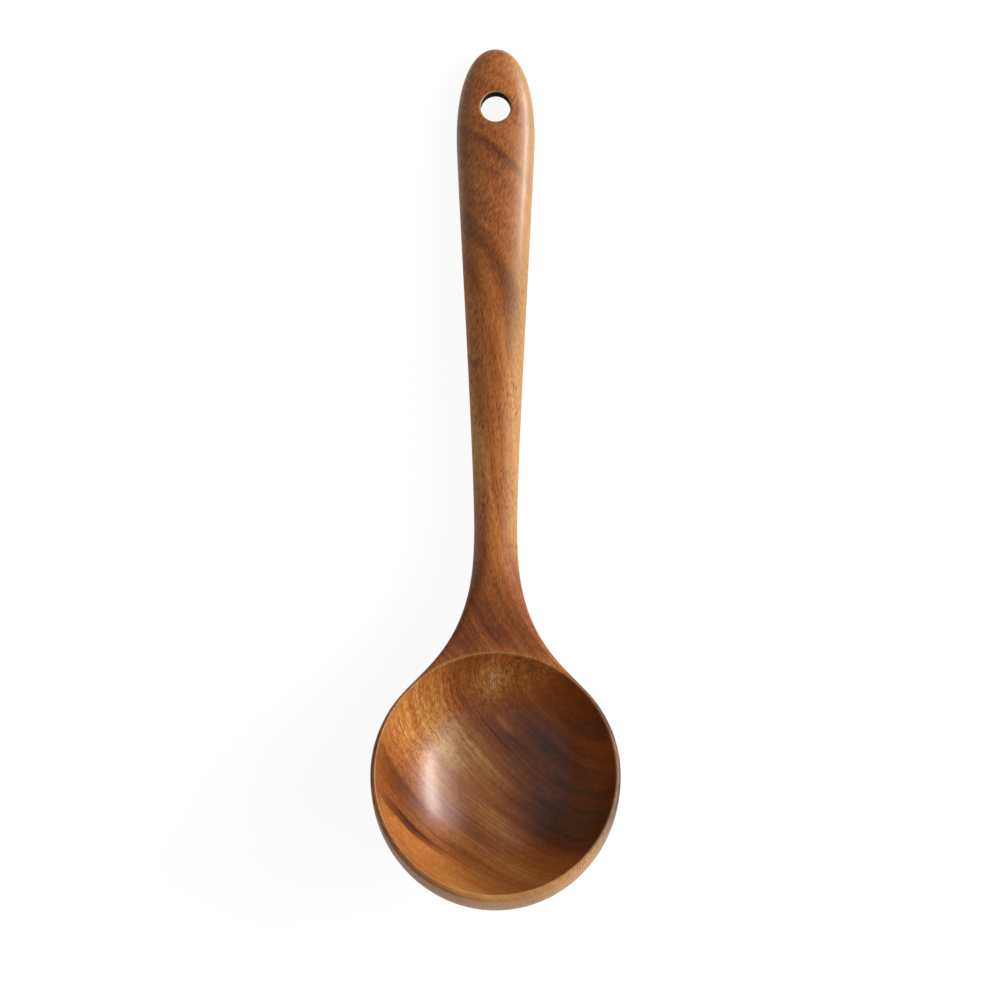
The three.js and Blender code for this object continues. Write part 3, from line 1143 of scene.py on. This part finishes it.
    def pore(self, spot: Spot) -> NodeSocket:
        """Pores: short dark dashes along the fibres, thick in some patches and thin in others.

        Args:
            spot: What the wood is drawn from.

        Returns:
            Up to 1 in a pore, and 0 on plain wood.
        """
        tree, place = spot.tree, spot.place
        low, high = self.pore_patch_edge
        patch = self.wave(tree, place, self.pore_patch)
        rise = {"Value": patch, "From Min": low, "From Max": high, "To Min": self.pore_patch.strength}
        patch = add(tree, "MapRange", rise)
        fade = {"Value": spot.scooped, "To Min": 1.0, "To Max": self.scooped_pores}
        shown = self.upwards(spot, self.hatch_y_mm, add(tree, "MapRange", fade), self.hatched_pores)
        shown = self.upwards(spot, self.clean_front_y_mm, 0.0, shown)
        patch = add(tree, "Math", {0: patch, 1: shown}, operation="MULTIPLY")
        total: NodeSocket | float = 0.0
        low, high = self.pore_edge
        for grain in self.pores:
            deep_mm = grain.across_mm * self.pore_depth_share
            scale = (1 / grain.across_mm, 1 / grain.along_mm, 1 / deep_mm)
            dash = add(tree, "Mapping", {"Vector": place, "Scale": scale})
            dash = add(tree, "TexVoronoi", {"Vector": dash, "Scale": 1.0}, out="Distance")
            fade = {"From Min": low, "From Max": high, "To Min": grain.strength, "To Max": 0.0}
            dash = add(tree, "MapRange", {"Value": dash, **fade})
            total = add(tree, "Math", {0: total, 1: dash}, operation="MAXIMUM")
        return add(tree, "Math", {0: total, 1: patch}, operation="MULTIPLY")

    def oil(self, spot: Spot) -> NodeSocket:
        """How much oil stays on the surface: most in the hollow, some on the bowl and at the tip.

        Args:
            spot: What the wood is drawn from.

        Returns:
            From 0 for dry to 1 for a full coat.
        """
        soaked = {0: spot.scooped, 1: self.hollow_oil, 2: self.bowl_oil}
        most = add(spot.tree, "Math", soaked, operation="MULTIPLY_ADD")
        bowl_oil = self.upwards(spot, self.bowl_oil_y_mm, most, 0.0)
        tip_oil = self.upwards(spot, self.tip_oil_y_mm, 0.0, self.tip_oil)
        return add(spot.tree, "Math", {0: bowl_oil, 1: tip_oil}, operation="MAXIMUM")

    def material(self, name: str) -> Material:
        """Makes the wood as shader nodes.

        Args:
            name: Name of the material.

        Returns:
            The new material.
        """
        material = bpy.data.materials.new(name)
        tree = empty_tree(material)
        place = add(tree, "TexCoord", out="Object")
        place = add(tree, "VectorMath", {0: place, "Scale": 1 / MM}, operation="SCALE")
        scooped = add(tree, "Attribute", out="Fac", attribute_name=Mark.SCOOPED.value)
        spot = Spot(tree, place, self.figure(tree, place), scooped)
        pore = add(tree, "Math", {0: self.pore(spot), 1: self.vessel(spot)}, operation="MAXIMUM")
        colour = add(tree, "ValToRGB", {0: self.tone(spot)}, stops=self.tones)
        # Painted light and painted highlight on the edges and sides, then the dark pores, are mixed into the
        # colour.
        lit_paint = add(tree, "Attribute", out="Fac", attribute_name=Mark.WORN.value)
        lit_paint = add(tree, "Math", {0: lit_paint, 1: self.painted_light_share}, operation="MULTIPLY")
        for share, other in ((lit_paint, self.painted_light_colour), (pore, self.pore_colour)):
            mixed = {"Factor": share, 6: colour, 7: linear(other)}
            colour = add(tree, "Mix", mixed, out=2, data_type="RGBA")
        oil = self.oil(spot)
        gloss = {"Value": oil, "To Min": self.dry_roughness, "To Max": self.oiled_roughness}
        cut = {"Height": pore, "Strength": self.pore_bump, "Distance": self.pore_bump_mm * MM}
        shader = add(
            tree,
            "BsdfPrincipled",
            {
                "Base Color": colour,
                "Roughness": add(tree, "MapRange", gloss),
                "Specular IOR Level": self.specular,
                "Coat Weight": oil,
                "Coat Roughness": self.oil_roughness,
                "Normal": add(tree, "Bump", cut, invert=True),
            },
        )
        add(tree, "OutputMaterial", {"Surface": shader})
        return material


# Drilled wood without oil looks dark and dull; its dark tones are also painted shade, so that the hole reads
# as deep.
@dataclass(frozen=True)
class DrilledBore:
    """Raw acacia in a drilled hole: dark, dry end grain with drill rings and no gloss, darkened further as
    painted shade.
    """

    tones: tuple[tuple[float, str], ...] = ((0.3, "#2c170c"), (0.7, "#4a2a17"))
    ring_mm: float = 0.6
    ring_length_mm: float = 3.0
    ring_detail: float = 2.0
    ring_bump: float = 0.3
    ring_bump_mm: float = 0.2
    roughness: float = 0.95
    specular: float = 0.05

    def material(self, name: str) -> Material:
        """Makes the bare wood as shader nodes.

        Args:
            name: Name of the material.

        Returns:
            The new material.
        """
        material = bpy.data.materials.new(name)
        tree = empty_tree(material)
        place = add(tree, "TexCoord", out="Object")
        scale = tuple(1 / (size * MM) for size in (self.ring_length_mm, self.ring_length_mm, self.ring_mm))
        place = add(tree, "Mapping", {"Vector": place, "Scale": scale})
        ring = add(tree, "TexNoise", {"Vector": place, "Scale": 1.0, "Detail": self.ring_detail})
        cut = {"Height": ring, "Strength": self.ring_bump, "Distance": self.ring_bump_mm * MM}
        shader = add(
            tree,
            "BsdfPrincipled",
            {
                "Base Color": add(tree, "ValToRGB", {0: ring}, stops=self.tones),
                "Roughness": self.roughness,
                "Specular IOR Level": self.specular,
                "Normal": add(tree, "Bump", cut),
            },
        )
        add(tree, "OutputMaterial", {"Surface": shader})
        return material


@dataclass(frozen=True)
class Lamp:
    """A soft rectangular lamp: direction and roll in degrees, distance and sides in metres, and watts."""

    name: str
    azimuth: float
    elevation: float
    roll: float
    distance: float
    size: tuple[float, float]
    power: float

    def build(self, aim: Vector) -> None:
        """Adds the lamp.

        Args:
            aim: Place that it faces, in metres.
        """
        data = bpy.data.lights.new(self.name, "AREA")
        data.shape = "RECTANGLE"
        data.size, data.size_y = self.size
        data.energy = self.power
        around, up = math.radians(self.azimuth), math.radians(self.elevation)
        way = Vector((math.cos(around) * math.cos(up), math.sin(around) * math.cos(up), math.sin(up)))
        lamp = bpy.data.objects.new(self.name, data)
        lamp.location = aim + way * self.distance
        facing = (-way).to_track_quat("-Z", "Y")
        lamp.rotation_euler = (facing @ Quaternion((0.0, 0.0, 1.0), math.radians(self.roll))).to_euler()
        bpy.context.scene.collection.objects.link(lamp)


@dataclass(frozen=True)
class Studio:
    """A white floor, soft lamps and the camera over the ladle."""

    floor_reach: float = 4.0
    floor_colour: str = "#eeeeec"
    seen_floor_colour: str = "#656564"
    floor_glow: float = 0.92
    surround: float = 0.336
    surround_lean: tuple[float, float, float] = (-0.048, -0.048, 0.0)
    surround_colour: str = "#ffffff"
    lamps: tuple[Lamp, ...] = (
        Lamp("key_softbox", 8.0, 30.0, -10.0, 1.0, (1.7, 0.75), 11.2),
        Lamp("key_core", 12.0, 25.0, -14.0, 1.0, (0.85, 0.15), 8.5),
        Lamp("side_strip", 0.0, 8.0, 0.0, 1.0, (1.6, 0.24), 2.0),
    )
    lamp_aim: tuple[float, float, float] = (0.0, 0.08, 0.02)
    camera_elevation: float = 89.0
    camera_distance: float = 1.3
    camera_aim: tuple[float, float, float] = (0.00171, 0.0901, 0.02)
    focal_pixels: float = 3723.5
    sensor_mm: float = 36.0

    def seen(self, tree: NodeTree, kinds: tuple[str, ...]) -> NodeSocket:
        """Tells rays by which a surface is seen from rays that only light.

        Args:
            tree: Node tree to add to.
            kinds: Names of Light Path outputs.

        Returns:
            1 for rays of these kinds and 0 for others.
        """
        rays = add(tree, "LightPath").node.outputs
        total = rays[kinds[0]]
        for kind in kinds[1:]:
            total = add(tree, "Math", {0: total, 1: rays[kind]}, operation="MAXIMUM")
        return total

    def floor(self) -> None:
        """Makes the floor, which glows enough to look white and keeps the ladle's shadow."""
        reach = self.floor_reach
        mesh = bpy.data.meshes.new("floor")
        corners = [(-reach, -reach, 0), (reach, -reach, 0), (reach, reach, 0), (-reach, reach, 0)]
        mesh.from_pydata(corners, [], [(0, 1, 2, 3)])
        floor = bpy.data.objects.new("floor", mesh)
        bpy.context.scene.collection.objects.link(floor)
        # Matt paper throws soft white light back and gives the eye no gloss.
        material = bpy.data.materials.new("paper_matt_white")
        tree = empty_tree(material)
        seen = self.seen(tree, ("Is Camera Ray", "Is Glossy Ray", "Is Transmission Ray"))
        mixed = {"Factor": seen, 6: linear(self.floor_colour), 7: linear(self.seen_floor_colour)}
        matt = add(tree, "BsdfDiffuse", {"Color": add(tree, "Mix", mixed, out=2, data_type="RGBA")})
        strength = add(tree, "Math", {0: seen, 1: self.floor_glow}, operation="MULTIPLY")
        glow = add(tree, "Emission", {"Strength": strength})
        add(tree, "OutputMaterial", {"Surface": add(tree, "AddShader", {0: matt, 1: glow})})
        mesh.materials.append(material)

    def world(self) -> None:
        """Makes a soft surround, brighter on one side, which the camera sees as plain white."""
        world = bpy.data.worlds.new("soft_surround")
        tree = empty_tree(world)
        way = add(tree, "TexCoord", out="Generated")
        lean = add(tree, "VectorMath", {0: way, 1: self.surround_lean}, out="Value", operation="DOT_PRODUCT")
        light = add(tree, "Math", {0: lean, 1: self.surround}, operation="ADD")
        seen = self.seen(tree, ("Is Camera Ray", "Is Transmission Ray"))
        strength = add(tree, "Math", {0: light, 1: seen}, operation="MAXIMUM")
        white = {"Color": linear(self.surround_colour), "Strength": strength}
        add(tree, "OutputWorld", {"Surface": add(tree, "Background", white)})
        bpy.context.scene.world = world

    def camera(self) -> None:
        """Makes the camera, which looks down on the ladle with the handle up the picture."""
        data = bpy.data.cameras.new("camera")
        data.sensor_width = self.sensor_mm
        data.lens = self.focal_pixels / PHOTO_PIXELS * self.sensor_mm
        camera = bpy.data.objects.new("camera", data)
        lift = math.radians(self.camera_elevation)
        back = Vector((0.0, -math.cos(lift), math.sin(lift)))
        camera.location = Vector(self.camera_aim) + back * self.camera_distance
        camera.rotation_euler = (-back).to_track_quat("-Z", "Y").to_euler()
        bpy.context.scene.collection.objects.link(camera)
        bpy.context.scene.camera = camera

    def build(self) -> None:
        """Makes the floor, the surround, the lamps and the camera."""
        self.floor()
        self.world()
        for lamp in self.lamps:
            lamp.build(Vector(self.lamp_aim))
        self.camera()
        bpy.context.scene.view_settings.view_transform = "Standard"


def main() -> None:
    """Loads the frame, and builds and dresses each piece."""
    logging.basicConfig(level=logging.INFO, format="%(message)s")
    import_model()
    form = LadleForm()
    wood = OiledAcacia().material("acacia_carved_and_oiled")
    bore = DrilledBore().material("acacia_drilled_bare")
    bowl, handle = Bowl(form), Handle(form)
    bowl_skin = bowl.build("bowl_skin")
    bowl.dress(bowl_skin, wood)
    LOG.info("%s: %d faces", bowl_skin.name, len(bowl_skin.data.polygons))
    handle_skin = handle.build("handle_skin")
    handle.dress(handle_skin, wood, bore)
    LOG.info("%s: %d faces", handle_skin.name, len(handle_skin.data.polygons))
    Studio().build()


if __name__ == "__main__":
    main()
